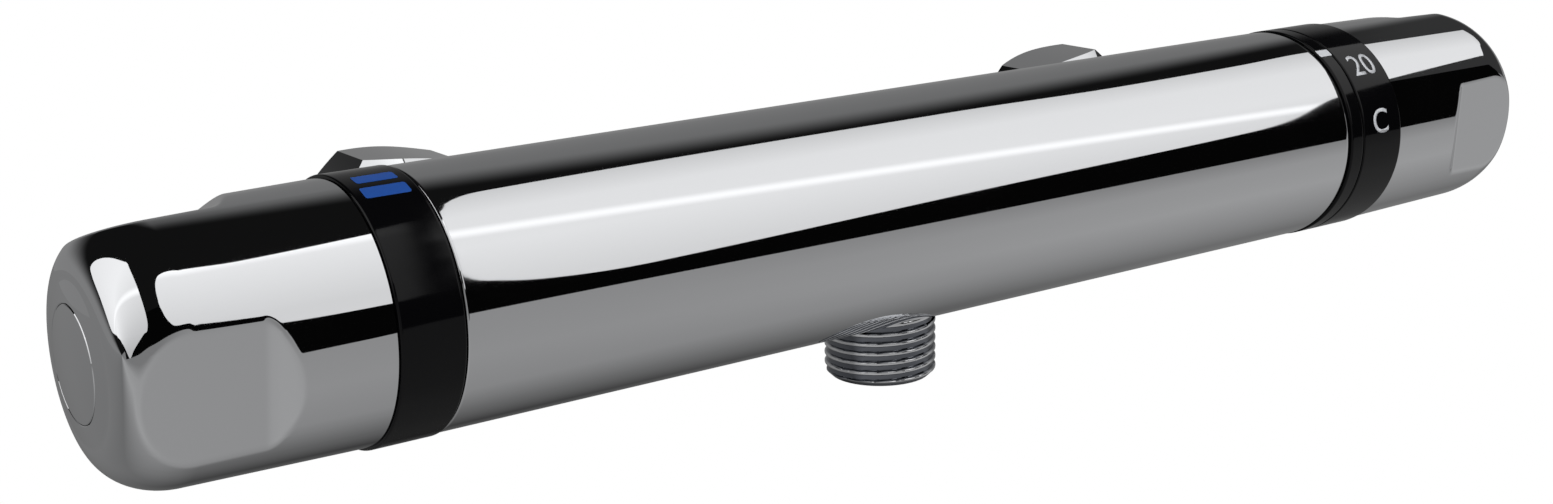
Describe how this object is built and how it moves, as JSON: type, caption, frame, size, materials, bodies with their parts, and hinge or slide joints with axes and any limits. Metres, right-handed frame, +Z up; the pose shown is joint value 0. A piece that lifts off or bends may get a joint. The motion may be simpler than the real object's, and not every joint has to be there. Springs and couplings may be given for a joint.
{
  "type": "thermostatic shower valve",
  "caption": "Wall-mounted thermostatic shower mixer bar with a flow knob, a temperature knob with a numbered dial, two union inlets and a threaded bottom outlet.",
  "frame": {"origin": "midway between the two inlets, in the plane of the union nuts' rear faces, at the height of the bar's axis", "axes": "+X along the bar to the temperature knob, +Y into the wall, +Z up"},
  "size_m": [0.3205, 0.0655, 0.0535],
  "materials": {
    "chrome": "mirror chrome plate on brass or plastic",
    "brass": "turned brass",
    "black_plastic": "glossy moulded plastic",
    "white_plastic": "moulded acetal",
    "rubber": "moulded nitrile rubber",
    "ceramic": "polished alumina ceramic",
    "steel": "stainless steel"
  },
  "bodies": {
    "fixed": {"valve_body": "chrome", "outlet_nipple": "chrome", "outlet_seal": "rubber", "inlet_tail_hot": "chrome", "inlet_tail_cold": "chrome", "inlet_tail_seals": "rubber", "filter_washers": "rubber", "filter_gauzes": "steel", "check_housing_hot": "white_plastic", "check_housing_cold": "white_plastic", "check_spring_hot": "steel", "check_spring_cold": "steel", "headwork_body": "brass", "headwork_seal": "rubber", "disc_seat": "rubber", "fixed_disc": "ceramic", "flow_stop_ring": "white_plastic", "cartridge_base": "white_plastic", "cartridge_housing": "brass", "cartridge_seals": "rubber", "cartridge_bonnet": "brass", "cartridge_nut": "brass", "return_spring": "steel", "temp_stop_ring": "white_plastic", "index_ring": "black_plastic"},
    "flow_control": {"flow_knob": "chrome", "flow_ring": "black_plastic", "flow_knob_cap": "chrome", "flow_knob_screw": "steel", "flow_spindle": "brass", "flow_spindle_seals": "rubber", "flow_spindle_clip": "steel", "moving_disc": "ceramic"},
    "temp_control": {"temp_knob": "chrome", "dial_ring": "black_plastic", "temp_knob_cap": "chrome", "temp_knob_screw": "steel", "temp_spindle": "brass", "temp_spindle_seals": "rubber", "temp_spindle_clip": "steel"},
    "mixer": {"mixing_spool": "white_plastic", "wax_element": "brass", "overload_cup": "brass", "overload_spring": "steel", "drive_nut": "brass"},
    "check_valve_hot": {"check_poppet_hot": "black_plastic"},
    "check_valve_cold": {"check_poppet_cold": "black_plastic"},
    "nut_hot": {"union_nut_hot": "chrome"},
    "nut_cold": {"union_nut_cold": "chrome"}
  },
  "joints": [
    {"name": "flow_turn", "type": "hinge", "parent": "fixed", "child": "flow_control", "pos_m": [-0.0956, -0.0435, 0], "axis": [-1, 0, 0], "range_deg": [0, 90]},
    {"name": "temp_turn", "type": "hinge", "parent": "fixed", "child": "temp_control", "pos_m": [0.1089, -0.0435, 0], "axis": [1, 0, 0], "range_deg": [-45, 213]},
    {"name": "mixer_slide", "type": "slide", "parent": "fixed", "child": "mixer", "axis": [1, 0, 0], "range_m": [-0.0005, 0.0019], "deforming": ["return_spring"]},
    {"name": "check_slide_hot", "type": "slide", "parent": "fixed", "child": "check_valve_hot", "axis": [0, -1, 0], "range_m": [0, 0.0025], "stiffness_N_per_m": 150, "springref_m": -0.004, "deforming": ["check_spring_hot"]},
    {"name": "check_slide_cold", "type": "slide", "parent": "fixed", "child": "check_valve_cold", "axis": [0, -1, 0], "range_m": [0, 0.0025], "stiffness_N_per_m": 150, "springref_m": -0.004, "deforming": ["check_spring_cold"]},
    {"name": "nut_spin_hot", "type": "hinge", "parent": "fixed", "child": "nut_hot", "pos_m": [-0.08, 0, 0], "axis": [0, 1, 0], "continuous": true},
    {"name": "nut_spin_cold", "type": "hinge", "parent": "fixed", "child": "nut_cold", "pos_m": [0.08, 0, 0], "axis": [0, 1, 0], "continuous": true}
  ],
  "couplings": [
    {"joint": "mixer_slide", "follows": "temp_turn", "m_per_rad": 0.00047746}
  ]
}
